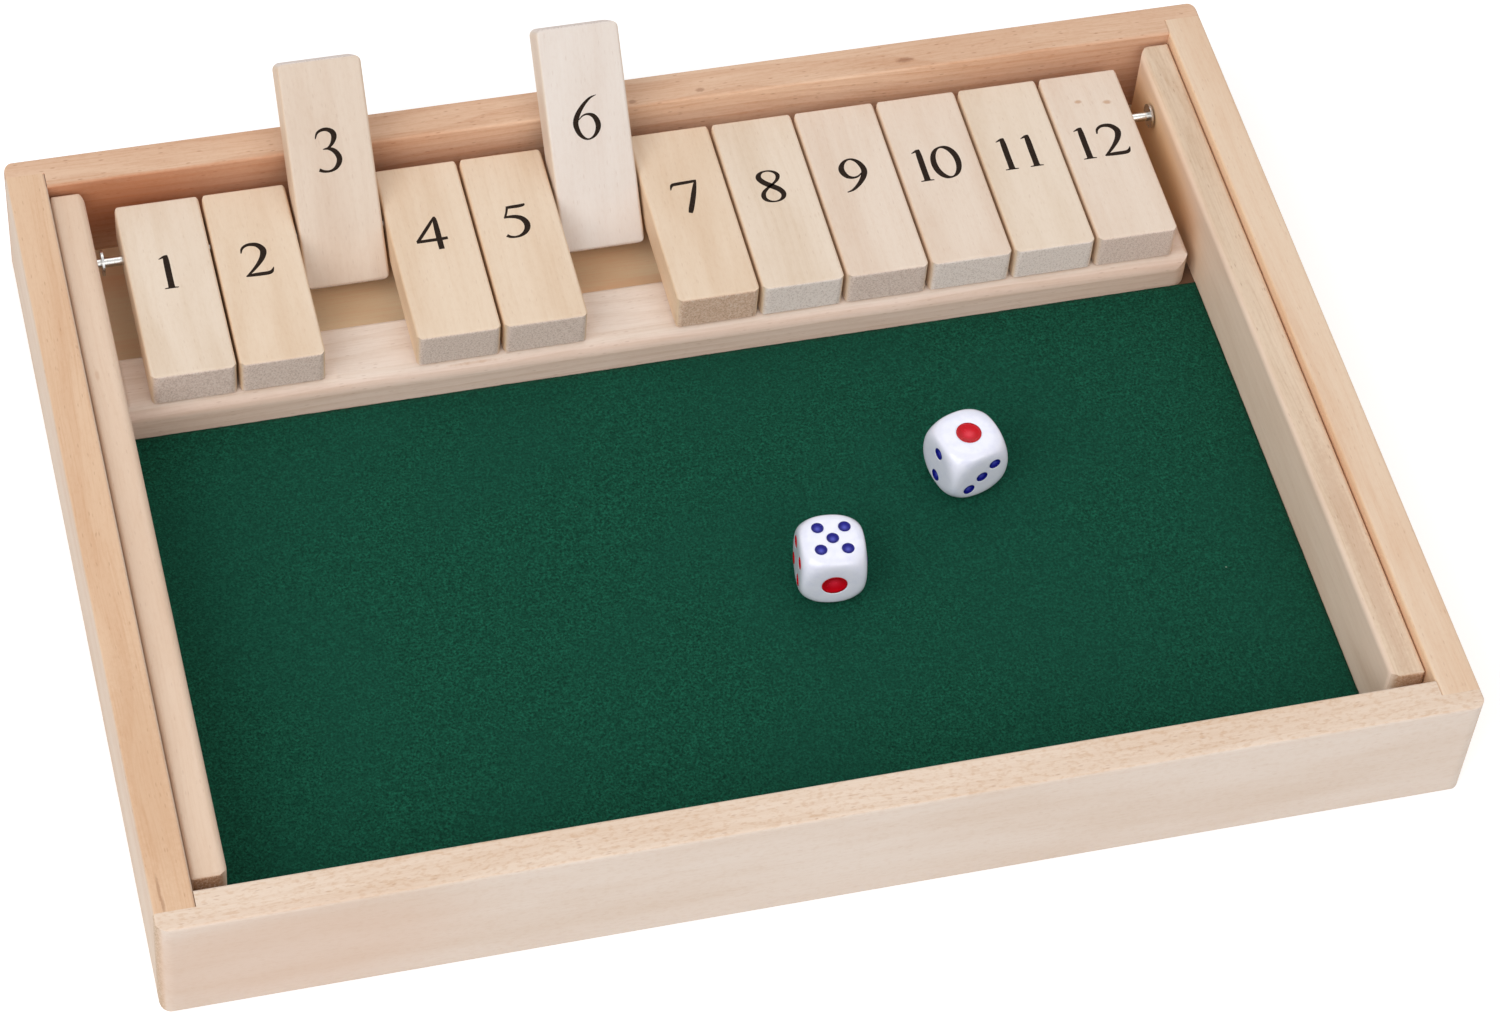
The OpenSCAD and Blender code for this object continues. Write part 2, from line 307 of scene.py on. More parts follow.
dark_share = plus(
    wood, times(wood, late, given["Rings"]), times(wood, ramp(wood, fibre, 0.42, 0.75), given["Fibres"]),
    times(wood, figure, given["Figure"]),
)
dark_share = plus(wood, times(wood, dark_share, calm), times(wood, ramp(wood, cloudy, 0.35, 0.7), given["Clouds"]))
along = tint(wood, calc(wood, "MINIMUM", dark_share, 1.0), given["Early Wood"], given["Late Wood"])
# Painted light and shade: the colour of the board's sides is multiplied by a factor for the light they take.
along = tint(wood, side, along, given["Side Shading"], "MULTIPLY")
along = tint(wood, fleck_share, along, darker(given["Late Wood"], 196, 160, 132))
across = tint(wood, times(wood, late, 0.07), given["End Wood"], darker(given["End Wood"], 206, 190, 176))
across = tint(wood, ramp(wood, pores, 0.47, 0.64, 0.0, 0.42), across, darker(across, 170, 158, 150))
across = tint(wood, ramp(wood, pores, 0.5, 0.36, 0.0, 0.4), across, shade(240, 232, 224))
relief = plus(wood, times(wood, fibre, 0.6), times(wood, late, 0.25))
relief = calc(wood, "SUBTRACT", relief, times(wood, fleck_share, 0.5))
wood.links.new(tint(wood, end, along, across), result["Color"])
wood.links.new(plus(wood, 0.5, times(wood, fibre, 0.16), times(wood, end, 0.15)), result["Roughness"])
wood.links.new(plus(wood, relief, times(wood, end, pores, 0.5)), result["Height"])
print("Solid wood:", len(wood.nodes), "nodes")

# %% [markdown]
# ## Marks in the wood
# A board is never the same all over: a pin knot, a streak of mineral. Each is a soft ellipsoid somewhere in the board
# with a frayed edge. Some marks inside the tray are painted shade and painted light instead: warm brown where a wall
# lies in shadow, a warm glow where the tiles shade a rail, and a dark patch in a shadowed gap. One group gives the
# mask, and a material places it where the mark is and mixes in the mark's colour.

# %% The node group for a knot or a streak
mark, given, result = new_group(
    "Wood mark", {"Place": (0, 0, 0), "Centre": (0, 0, 0), "Reach": (1, 1, 1), "Fray": 0.35}, {"Mask": "Float"}
)
spot = millimetres(mark, given["Place"])
fray = cloud(mark, spot, (0.9, 0.9, 0.9), 3.0, 0.6)
reach = vector(mark, "DIVIDE", vector(mark, "SUBTRACT", spot, given["Centre"]), given["Reach"])
frayed = times(mark, calc(mark, "SUBTRACT", fray, 0.5), times(mark, given["Fray"], 2.0))
reach = plus(mark, vector(mark, "LENGTH", reach, out=1), frayed)
mark.links.new(ramp(mark, reach, 0.35, 1.0, 1.0, 0.0), result["Mask"])
print("Wood mark:", len(mark.nodes), "nodes")

# %% [markdown]
# ## One material for each board
# All boards share the group and differ in colour, in where the heart of the tree lay, and in seed. The
# Mapping nodes turn the board's place and the surface's facing so that the grain runs along the board,
# also on the two tiles that stand raised. The marks and the bump are added in the material itself.

# %% A function that makes a board's material
GRAIN_X = Matrix.Identity(3)
GRAIN_Y = Matrix.Rotation(math.radians(90), 3, "Z")
WOOD_GLOSS, WOOD_BUMP = 0.35, 0.12


def board_finish(
    name, centre, early, late, end, seed, heart, grain=GRAIN_X, side=(1, 1, 1), marks=(), **strengths
):
    """Solid wood for one board. early, late and end are colours from 0 to 255, heart is the heart line's y and z from
    the board's middle, grain the board's own turn and side a factor on the colour of its sides that paints in their
    light and shade. marks are (centre, reach, colour, share) in the frame's millimetres, some with how frayed the
    edge is, and some of them are painted shade and light. What strengths leaves out keeps the group's usual value."""
    material, tree, shader = new_material(name)
    coords = put(tree, "TexCoord").outputs
    turn = grain.to_euler("XYZ")
    at = {"Vector": coords["Object"], "Location": Vector(centre) * MM, "Rotation": turn}
    place = put(tree, "Mapping", at, vector_type="TEXTURE").outputs[0]
    facing = put(tree, "Mapping", {"Vector": coords["Normal"], "Rotation": turn}, vector_type="TEXTURE").outputs[0]
    feeds = {
        "Place": place, "Facing": facing, "Heart": (0, *heart), "Seed": seed,
        "Early Wood": shade(*early), "Late Wood": shade(*late), "End Wood": shade(*end), "Side Shading": (*side, 1),
        **{key.replace("_", " "): value for key, value in strengths.items()},
    }
    made = put(tree, "Group", feeds, node_tree=wood).outputs
    colour = made["Color"]
    for middle, size, mark_colour, share, *fray in marks:
        spot = {"Place": coords["Object"], "Centre": middle, "Reach": size} | ({"Fray": fray[0]} if fray else {})
        mask = put(tree, "Group", spot, node_tree=mark).outputs["Mask"]
        colour = tint(tree, times(tree, mask, share), colour, shade(*mark_colour))
    bump = put(tree, "Bump", {"Height": made["Height"], "Strength": 0.35, "Distance": WOOD_BUMP * MM}).outputs[0]
    feed(tree, shader, {
        "Base Color": colour, "Roughness": made["Roughness"], "Specular IOR Level": WOOD_GLOSS, "Normal": bump,
    })
    return material


def dress(piece, finish):
    """Gives a CAD piece its finish."""
    node = frame["nodes"][piece]
    node.data.materials[0] = finish
    return node


print("boards are ready to dress")

# %% [markdown]
# ## The tray, its rails and the tile rest
# The walls are beech, sanded and not varnished. The back and left walls are the reddest boards and the
# tile rest is the palest, and the top of the front wall shows the speckled figure of beech cut across its
# rays. Each board gets its own colours, because a set cut from one plank would look printed.

# %% Walls, rails, rest and base panel
# Each board's side factor is painted light and shade on the faces along its sides: lighter, darker, cooler or warmer
# for the light they take in and around the tray.
TRAY_BOARDS = {
    "front_wall": dict(
        side=(0.92, 0.97, 1.04), seed=1.3, heart=(60, -25),
        early=(235, 214, 195), late=(214, 180, 150), end=(206, 178, 150),
        Figure=0.45, Flecks=0.35, Rings=0.16, Clouds=0.3, Fibres=0.25, Side_Figure=0.35,
    ),
    "back_wall": dict(
        side=(1.1, 1.12, 1.14), seed=2.1, heart=(-18, -70),
        early=(228, 192, 163), late=(203, 154, 120), end=(198, 152, 120),
        Figure=0.15, Flecks=0.5, Rings=0.3,
    ),
    "left_wall": dict(
        grain=GRAIN_Y, side=(0.92, 1.08, 1.3), seed=3.7, heart=(25, -80),
        early=(229, 194, 162), late=(208, 160, 121), end=(200, 160, 126),
        Figure=0.12, Flecks=0.3, Clouds=0.35, Fibres=0.3, Side_Figure=0.6,
    ),
    "right_wall": dict(
        grain=GRAIN_Y, side=(1.06, 0.99, 0.9), seed=4.4, heart=(-40, -60),
        early=(234, 208, 182), late=(216, 172, 136), end=(206, 170, 138),
        Rings=0.1, Clouds=0.45, Fibres=0.2,
    ),
    "left_rail": dict(
        grain=GRAIN_Y, side=(1.05, 1.05, 1.08), seed=5.2, heart=(30, -45),
        early=(231, 205, 182), late=(212, 176, 146), end=(186, 142, 108),
        Flecks=0.15, Rings=0.08, Clouds=0.3, Fibres=0.2,
    ),
    "right_rail": dict(
        grain=GRAIN_Y, side=(1.16, 1.14, 1.2), seed=6.9, heart=(-12, -30),
        early=(230, 208, 184), late=(200, 168, 138), end=(206, 164, 130),
        Figure=0.14, Flecks=0.4, Side_Figure=0.25,
    ),
    "tile_rest": dict(
        side=(1.02, 0.93, 0.9), seed=7.5, heart=(-30, -50),
        early=(234, 217, 204), late=(212, 187, 167), end=(214, 188, 164),
        Flecks=0.25, Rings=0.25, Clouds=0.35, Fibres=0.35,
    ),
    # The base panel is made far paler than its wood would be: painted light for the shaded well under the tiles.
    "base_panel": dict(
        seed=8.8, heart=(15, -400),
        early=(255, 229, 190), late=(252, 208, 165), end=(190, 150, 120),
        Flecks=0.1, Rings=0.5, Ring_Spacing=5.0,
    ),
}
# DARK and TAN are marks in the wood. The third colour is painted shade: the warm brown of the back wall's inner face
# where it lies in shadow behind the tiles.
DARK, TAN, PAINTED_SHADE = (142, 92, 62), (188, 136, 92), (178, 98, 46)
BOARD_MARKS = {
    "back_wall": [
        ((76.0, 106.4, 34), (3.2, 1.1, 2), DARK, 0.6), ((21.1, 105.7, 34), (1.6, 0.9, 2), DARK, 0.5),
        # The three long, soft marks on the back wall's inner face are painted shade.
        ((2.9, 104.8, 34), (1.5, 0.9, 2), DARK, 0.5), ((-132, 102.6, 26), (45, 1.6, 20), PAINTED_SHADE, 0.6, 0.06),
        ((-110, 102.6, 26), (125, 1.6, 30), PAINTED_SHADE, 0.5, 0.06), ((132, 102.6, 22), (60, 1.6, 60), PAINTED_SHADE, 0.25, 0.06),
    ],
    "left_wall": [
        ((-154.6, -107.2, 34), (0.5, 4.5, 2), DARK, 0.45), ((-154.3, -111.8, 34), (0.6, 3.0, 2), DARK, 0.45),
        ((-152, -75, 34), (7, 50, 6), TAN, 0.25),
    ],
    "left_rail": [((-144.4, 43.0, 31.5), (0.7, 2.2, 1), TAN, 0.3)],
    "right_rail": [
        # Painted light: a warm orange glow on the rail's inner face beside the last tile, where the tiles shade it.
        ((137, 80, 14), (7, 52, 22), (246, 202, 150), 0.85, 0.06),
        ((142.7, -70, 31.5), (3.5, 60, 3), (192, 152, 122), 0.4),
    ],
    "front_wall": [((-130, -119, 17), (60, 6, 26), (216, 178, 152), 0.35, 0.1)],
    # Painted shadow: a dark patch on the base panel in the gap between the rest's right end and the rail.
    "base_panel": [((137, 43, 7.7), (7, 9, 3), (84, 52, 32), 0.95, 0.1)],
    "tile_rest": [((-50.5, 41.5, 17.5), (11, 0.6, 1.2), TAN, 0.55)],
}
TILE_MARKS = {
    11: [((85.7, 62, 26), (0.9, 30, 6), TAN, 0.3)],
    12: [((118.6, 88.9, 28.3), (1.4, 0.8, 2), TAN, 0.6), ((126.1, 87.5, 28.3), (1.5, 0.9, 2), TAN, 0.6)],
}
for piece, wood_of in TRAY_BOARDS.items():
    finish = board_finish(f"{piece}_wood", middle_of(piece), marks=BOARD_MARKS.get(piece, ()), **wood_of)
    dress(piece, finish)
print("dressed", len(TRAY_BOARDS), "boards")

# %% [markdown]
# ## Softer back ends on the rails
# The back ends of both rails are sanded rounder than the CAD has them. A prism with rounded corners,
# taken along z and along x, keeps only what lies inside it, and the copy that is left stands in for the
# CAD piece. Where nothing is to be cut, a prism stands proud of the piece by a micrometre or more.

# %% Trim the rails
SQUARE, PROUD, SPARE, END_RADIUS, SAME_POINT, SHARP_EDGE = 0.01, 0.001, 5, 1.3, 1e-7, math.radians(35)


def rounded_outline(low, high, radii, steps=10):
    """A rectangle from low to high, counter-clockwise from its low corner, each corner an arc of its own radius."""
    arcs = []
    for quarter, radius in enumerate(radii):
        right, top = quarter in (1, 2), quarter in (2, 3)
        hub = [high[0] - radius if right else low[0] + radius, high[1] - radius if top else low[1] + radius]
        a = np.pi + (np.linspace(0, 1, steps) + quarter) * np.pi / 2
        arcs.append(np.stack([np.cos(a), np.sin(a)], -1) * radius + hub)
    return np.concatenate(arcs)


def prism(outline, axis, start, end):
    """An outline carried along x (0) or z (2) from start to end, as points and faces that close it."""
    count = len(outline)
    rings = [np.insert(outline, axis, at, axis=1) for at in (start, end)]
    ring = np.arange(count)
    sides = np.stack([ring, np.roll(ring, -1), np.roll(ring, -1) + count, ring + count], -1)
    return np.vstack(rings), sides.tolist() + [ring[::-1].tolist(), (ring + count).tolist()]


def trimmed(piece, cutters):
    """A merged copy of a CAD piece, kept only where it lies inside every cutter."""
    wood_finish = frame["nodes"][piece].data.materials[0]
    work = bmesh.new()
    work.from_mesh(frame["nodes"][piece].data)
    bmesh.ops.remove_doubles(work, verts=work.verts, dist=SAME_POINT)
    work.verts.index_update()
    mesh = bpy.data.meshes.new(f"{piece}_sanded")
    mesh.from_pydata([v.co[:] for v in work.verts], [], [[v.index for v in f.verts] for f in work.faces])
    work.free()
    mesh.materials.append(wood_finish)
    copy = bpy.data.objects.new(f"{piece}_sanded", mesh)
    bpy.context.scene.collection.objects.link(copy)
    for cutter in cutters:
        tool = mesh_piece("cutter", [cutter], wood_finish)
        cut = copy.modifiers.new("cut", "BOOLEAN")
        cut.operation, cut.solver, cut.object = "INTERSECT", "EXACT", tool
        cut_mesh = bpy.data.meshes.new_from_object(copy.evaluated_get(bpy.context.evaluated_depsgraph_get()))
        copy.modifiers.clear()
        copy.data = cut_mesh
        bpy.data.objects.remove(tool)
    smooth(copy).data.set_sharp_from_angle(angle=SHARP_EDGE)
    copy.modifiers.new("even shading", "WEIGHTED_NORMAL").keep_sharp = True
    return copy


for piece, inner_radii in {"left_rail": (3.0, 1.4), "right_rail": (1.6, 4.6)}.items():
    low, high = box_of(piece)
    seen_from_above = rounded_outline(
        (low.x - PROUD, low.y - SPARE), (high.x + PROUD, high.y + PROUD), (SQUARE, SQUARE, *inner_radii)
    )
    seen_from_side = rounded_outline(
        (low.y - SPARE, low.z - SPARE), (high.y + PROUD, high.z + PROUD), (SQUARE, SQUARE, END_RADIUS, SQUARE)
    )
    upright = prism(seen_from_above, 2, low.z - SPARE, high.z + SPARE)
    rail = trimmed(piece, [upright, prism(seen_from_side, 0, low.x - SPARE, high.x + SPARE)])
    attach(rail, "tray")
    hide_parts(piece)
    print(piece, "has", len(rail.data.polygons), "faces after sanding")

# %% [markdown]
# ## Twelve tiles from different boards
# The tiles are a paler wood, cut from several boards: some are creamy, some honey coloured, some rose.
# Their ends are greyer or browner, because end grain drinks in dust and light, and the upturned ends of the two
# raised tiles are painted paler, as painted light. Their sides are painted a little warmer and darker, as painted
# shade in the narrow gaps between tiles. Each tile names the board it was cut from, and the seed and the heart line
# make it the only one of its kind.

# %% Tile woods
CREAM = dict(early=(236, 218, 199), late=(214, 188, 160))
HONEY = dict(early=(236, 214, 190), late=(215, 182, 149))
ROSE = dict(early=(236, 218, 201), late=(216, 187, 163))
PALE = dict(early=(234, 224, 216), late=(218, 200, 187))
DUSK = dict(early=(226, 208, 191), late=(206, 178, 155))
# The palest end colour is end grain on the lowered tiles, and painted light on the upturned ends of the raised tiles
# 3 and 6.
GREY_END, PALE_LIT_END, BROWN_END = (230, 207, 195), (242, 227, 219), (223, 186, 160)
# The side factor of the tiles is painted warm shade for the narrow gaps between them.
TILE_SIDE_SHADE, HEART_AWAY = (1.0, 0.94, 0.86), 38
TILE_BOARDS = {
    1: (CREAM, GREY_END), 2: (HONEY, GREY_END), 3: (DUSK, PALE_LIT_END), 4: (HONEY, GREY_END),
    5: (HONEY, GREY_END), 6: (PALE, PALE_LIT_END), 7: (HONEY, BROWN_END), 8: (CREAM, PALE_LIT_END),
    9: (ROSE, GREY_END), 10: (ROSE, PALE_LIT_END), 11: (CREAM, PALE_LIT_END), 12: (ROSE, GREY_END),
}
for n, (colours, end_colour) in TILE_BOARDS.items():
    axes = tile_axes(n)
    centre = bore_of(n) + axes @ Vector((0, TILE_TAIL - TILE_LENGTH / 2, 0))
    lean = 2.4 * n
    finish = board_finish(
        f"tile_{n}_wood", centre, grain=axes @ GRAIN_Y, end=end_colour, side=TILE_SIDE_SHADE, seed=10 + 1.7 * n,
        heart=(HEART_AWAY * math.cos(lean), HEART_AWAY * math.sin(lean)), marks=TILE_MARKS.get(n, ()),
        Rings=0.07, Fibres=0.10, Flecks=0.14, Figure=0.12, Clouds=0.45, **colours,
    )
    dress(f"tile_{n}", finish)
print("dressed", len(TILE_BOARDS), "tiles")

# %% [markdown]
# ## Softer tips
# The tips of the tiles are worn rounder than the CAD has them. The same trimming rounds the two upright
# corners at the free end of each tile, with the cutter turned along with the tile.

# %% Trim the tiles
TIP_RADIUS = 2.0
for n in TILES:
    piece, axes = f"tile_{n}", np.array(tile_axes(n))
    low, high = box_of(piece)
    half, free_end = (high.x - low.x) / 2 + PROUD, TILE_TAIL - TILE_LENGTH - PROUD
    outline = rounded_outline((-half, free_end), (half, TILE_TAIL + SPARE), (TIP_RADIUS, TIP_RADIUS, SQUARE, SQUARE))
    points, faces = prism(outline, 2, -TILE_THICK, TILE_THICK)
    tile = trimmed(piece, [(points @ axes.T + [(low.x + high.x) / 2, rod_at.y, rod_at.z], faces)])
    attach(tile, f"{piece}_body")
    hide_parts(piece)
print("trimmed", len(TILES), "tiles to", len(tile.data.polygons), "faces each")

# %% [markdown]
# ## Steel, plastic and paint
# The rod and the washers are bright nickel, drawn and turned, so fine scratches run round them. The dice are glossy
# white plastic, a little worn where they roll, and their pips hold a thick glossy paint with a painted highlight that
# lightens it towards the foot of the pip. All of them share one group for fine wear.

# %% The node group for fine wear
wear, given, result = new_group(
    "Fine wear", {"Place": (0, 0, 0), "Stretch": (1, 1, 1), "Amount": 0.5}, {"Mask": "Float", "Height": "Float"}
)
scuffs = cloud(wear, millimetres(wear, given["Place"]), given["Stretch"], 4.0, 0.65)
wear.links.new(times(wear, ramp(wear, scuffs, 0.4, 0.75), given["Amount"]), result["Mask"])
wear.links.new(scuffs, result["Height"])
print("Fine wear:", len(wear.nodes), "nodes")


# %% A function for the hard finishes
def hard_finish(name, colours, rough, stretch, centre=(0, 0, 0), amount=0.7, bump=0.1, pip_highlight=None, **shader_values):
    """A smooth hard surface that drifts in fine scuffs from the first of its two colours and roughnesses to the
    second, worn one. The colour given for a pip is a painted highlight, mixed in towards the foot of the pip where
    the mesh's own attribute "deep" is near one."""
    material, tree, shader = new_material(name)
    at = {"Vector": put(tree, "TexCoord").outputs["Object"], "Location": Vector(centre) * MM}
    place = put(tree, "Mapping", at, vector_type="TEXTURE").outputs[0]
    made = put(tree, "Group", {"Place": place, "Stretch": stretch, "Amount": amount}, node_tree=wear).outputs
    surface = tint(tree, made["Mask"], *(shade(*colour) for colour in colours))
    # Painted highlight: lighter paint towards the foot of each pip.
    if pip_highlight:
        deep = put(tree, "Attribute", attribute_name="deep").outputs["Fac"]
        surface = tint(tree, ramp(tree, deep, 0.3, 1.0, 0.0, 0.75), surface, shade(*pip_highlight))
    scratches = put(tree, "Bump", {"Height": made["Height"], "Strength": bump, "Distance": 0.00005}).outputs[0]
    feed(tree, shader, {
        "Base Color": surface, "Roughness": ramp(tree, made["Mask"], 0.0, 1.0, *rough), "Normal": scratches,
        **{key.replace("_", " "): value for key, value in shader_values.items()},
    })
    return material


# %% Steel, plastic, paint and ink
rod_steel = hard_finish(
    "rod_steel", ((214, 212, 208), (188, 184, 178)), (0.16, 0.34), (6, 0.6, 0.6), rod_at, 0.8, Metallic=1.0
)
washer_steel = hard_finish(
    "washer_steel", ((206, 205, 203), (172, 170, 168)), (0.2, 0.42), (3, 1.6, 1.6), rod_at, 0.8, Metallic=1.0
)
die_white = hard_finish(
    "die_white", ((240, 241, 255), (228, 230, 250)), (0.13, 0.3), (0.35, 0.35, 0.35),
    bump=0.05, Coat_Weight=0.3, Coat_Roughness=0.08,
)
# The pips' paints, each with a painted highlight towards the foot of the pip.
pip_paints = {
    name: hard_finish(f"pip_{name}", colours, (0.2, 0.35), (0.8, 0.8, 0.8), pip_highlight=pip_highlight, Specular_IOR_Level=0.25)
    for name, colours, pip_highlight in (
        ("blue", ((16, 14, 120), (28, 30, 146)), (84, 90, 206)),
        ("red", ((192, 0, 22), (206, 8, 30)), (236, 44, 70)),
    )
}
ink = hard_finish(
    "stamped_ink", ((36, 26, 20), (62, 48, 38)), (0.75, 0.9), (2.5, 2.5, 2.5),
    bump=0.2, Specular_IOR_Level=0.1,
)
dress("axle_rod", rod_steel)
for piece in ("left_washer", "right_washer"):
    dress(piece, washer_steel)
for piece in ("die_1", "die_2"):
    dress(piece, die_white)
print("pips are painted", *pip_paints)

# %% [markdown]
# ## The felt
# Felt is matted wool: no weave, only short fibres that lie every way. The CAD solid is a plain slab, so
# a real sheet replaces it: its top rises and falls by a few hundredths of a millimetre as the nap does,
# and its cut edges are rounded over. Height comes from two fields of random numbers, one for the nap and
# one for slow unevenness. Each is split into waves, its fine waves are cut away, and the rest is summed.

# %% A felt sheet as a height field
def blurred_noise(rows, columns, step, size, seed):
    """Random heights with a spread of 1, in which nothing much finer than size (mm) is left."""
    rough = np.random.default_rng(seed).normal(size=(rows, columns))
    fy, fx = np.fft.fftfreq(rows, step)[:, None], np.fft.rfftfreq(columns, step)[None, :]
    soft = np.fft.irfft2(np.fft.rfft2(rough) * np.exp(-((fx**2 + fy**2) * size**2) * 4), (rows, columns))
    return soft / soft.std()


FELT_STEP, NAP, UNEVEN, SUNK, CUT_ROUND, CUT_REACH = 1.25, 0.03, 0.03, 0.08, 0.35, 0.7
low, high = box_of("playing_felt")
felt_x = np.linspace(low.x, high.x, round((high.x - low.x) / FELT_STEP) + 1)
felt_y = np.linspace(low.y, high.y, round((high.y - low.y) / FELT_STEP) + 1)
shape = (len(felt_y), len(felt_x))
nap = NAP * blurred_noise(*shape, FELT_STEP, 1.5, 11) + UNEVEN * blurred_noise(*shape, FELT_STEP, 25, 12)
to_side, to_end = np.minimum(felt_x - low.x, high.x - felt_x), np.minimum(felt_y - low.y, high.y - felt_y)
to_edge = np.minimum(to_side[None, :], to_end[:, None])
top = high.z - SUNK + nap - CUT_ROUND * np.exp(-to_edge / CUT_REACH)
xx, yy = np.meshgrid(felt_x, felt_y)
upper = np.stack([xx, yy, top], -1).reshape(-1, 3)
under = np.stack([xx, yy, np.full(shape, low.z)], -1).reshape(-1, 3)
number = np.arange(upper.shape[0]).reshape(shape)
rim = np.concatenate([number[0, :-1], number[:-1, -1], number[-1, :0:-1], number[:0:-1, 0]])
wall = np.stack([rim, rim + len(upper), np.roll(rim, -1) + len(upper), np.roll(rim, -1)], -1)
flat_faces = grid_faces(*shape)
print("felt grid", shape, "nap from", round(float(nap.min()), 3), "to", round(float(nap.max()), 3), "mm")

# %% [markdown]
# ## The colour of felt
# Up close felt is a tangle of lighter and darker hairs with the odd speck of lint. The material layers
# noise at three sizes, and the sheen of fine hairs is set on the shader itself.

# %% Felt material and sheet
felt_green, tree, shader = new_material("felt_green")
spot = millimetres(tree, put(tree, "TexCoord").outputs["Object"])
hairs = cloud(tree, spot, (1.6, 1.6, 1.6), 5.0, 0.72)
tufts = cloud(tree, spot, (0.6, 0.6, 0.6), 3.0, 0.65)
fade = cloud(tree, spot, (0.02, 0.02, 0.02), 3.0, 0.6)
green = tint(tree, ramp(tree, hairs, 0.34, 0.66), shade(0, 42, 31), shade(26, 98, 75))
green = tint(tree, ramp(tree, tufts, 0.35, 0.7, 0.0, 0.55), green, shade(4, 54, 40))
green = tint(tree, ramp(tree, fade, 0.4, 0.62, 0.0, 0.3), green, shade(14, 70, 56))
lint = put(tree, "TexVoronoi", {"Vector": spot, "Scale": 0.085}).outputs
lint_pick = put(tree, "SeparateColor", {0: lint["Color"]}).outputs[1]
lint_mask = times(tree, ramp(tree, lint["Distance"], 0.012, 0.03, 1.0, 0.0), ramp(tree, lint_pick, 0.6, 0.7))
green = tint(tree, times(tree, lint_mask, 0.45), green, shade(150, 180, 160))
fuzz = put(tree, "Bump", {"Height": hairs, "Strength": 0.8, "Distance": 0.0003}).outputs[0]
feed(tree, shader, {
    "Base Color": green, "Roughness": ramp(tree, hairs, 0.2, 0.8, 0.85, 1.0), "Normal": fuzz,
    "Specular IOR Level": 0.1, "Sheen Weight": 0.08, "Sheen Roughness": 0.6, "Sheen Tint": shade(120, 190, 150),
})
felt_faces = np.concatenate([flat_faces, flat_faces[:, ::-1] + len(upper), wall])
felt = smooth(mesh_piece("felt_sheet", [(np.concatenate([upper, under]), felt_faces)], felt_green))
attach(felt, "tray")
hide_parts("playing_felt")
print("felt sheet", len(felt.data.polygons), "faces")

# %% [markdown]
# ## Numerals drawn with a broad pen
# The numbers on the tiles are old-style book numerals, with strokes that swell and thin. A font would
# be the quick way, but fonts have makers. So each numeral is a few pen strokes, written as points along
# the middle of the stroke with half the stroke's width there, in thousandths of the numeral's height. A
# smooth curve runs through the points, and the edge of the stroke lies half a width to each side.

# %% Pen strokes
def oval(middle=(358, 500), reach=(290, 478), pen_lean=14, points=25):
    """The nought: one closed stroke, thin at the top and the foot and swollen at its sides, leaning a little."""
    a = np.linspace(0, 2 * np.pi, points)
    across, up = reach[0] * np.cos(a), reach[1] * np.sin(a)
    slope = np.arctan2(reach[1] * np.cos(a), -reach[0] * np.sin(a)) - math.radians(pen_lean)
    half_width = 20 + 50 * np.abs(np.sin(slope)) ** 1.5
    return np.stack([middle[0] + across, middle[1] + up, half_width], -1)


